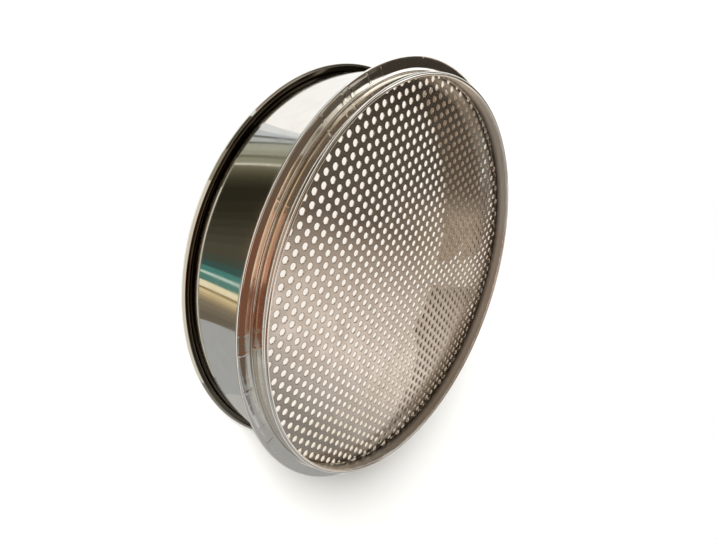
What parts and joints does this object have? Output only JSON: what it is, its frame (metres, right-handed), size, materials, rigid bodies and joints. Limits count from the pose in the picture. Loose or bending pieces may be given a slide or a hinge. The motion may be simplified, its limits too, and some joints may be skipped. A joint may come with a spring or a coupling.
{
  "type": "test sieve",
  "caption": "Round laboratory test sieve: a perforated plate crimped between a drawn sheet frame with a curled rim and a shallow spigot skirt.",
  "frame": {"origin": "centre of the top rim's plane, on which the sieve stands with its skirt upwards", "axes": "+Z along the sieve's axis, from the mouth towards the skirt; a close-packed row of holes lies along +Y"},
  "size_m": [0.212, 0.212, 0.05],
  "materials": {
    "polished_frame": "mirror-polished stainless steel",
    "satin_plate": "satin rolled stainless steel, punched",
    "polished_skirt": "mirror-polished stainless steel"
  },
  "bodies": {
    "root": {"frame_shell": "polished_frame", "perforated_plate": "satin_plate", "skirt_ring": "polished_skirt"}
  },
  "joints": []
}
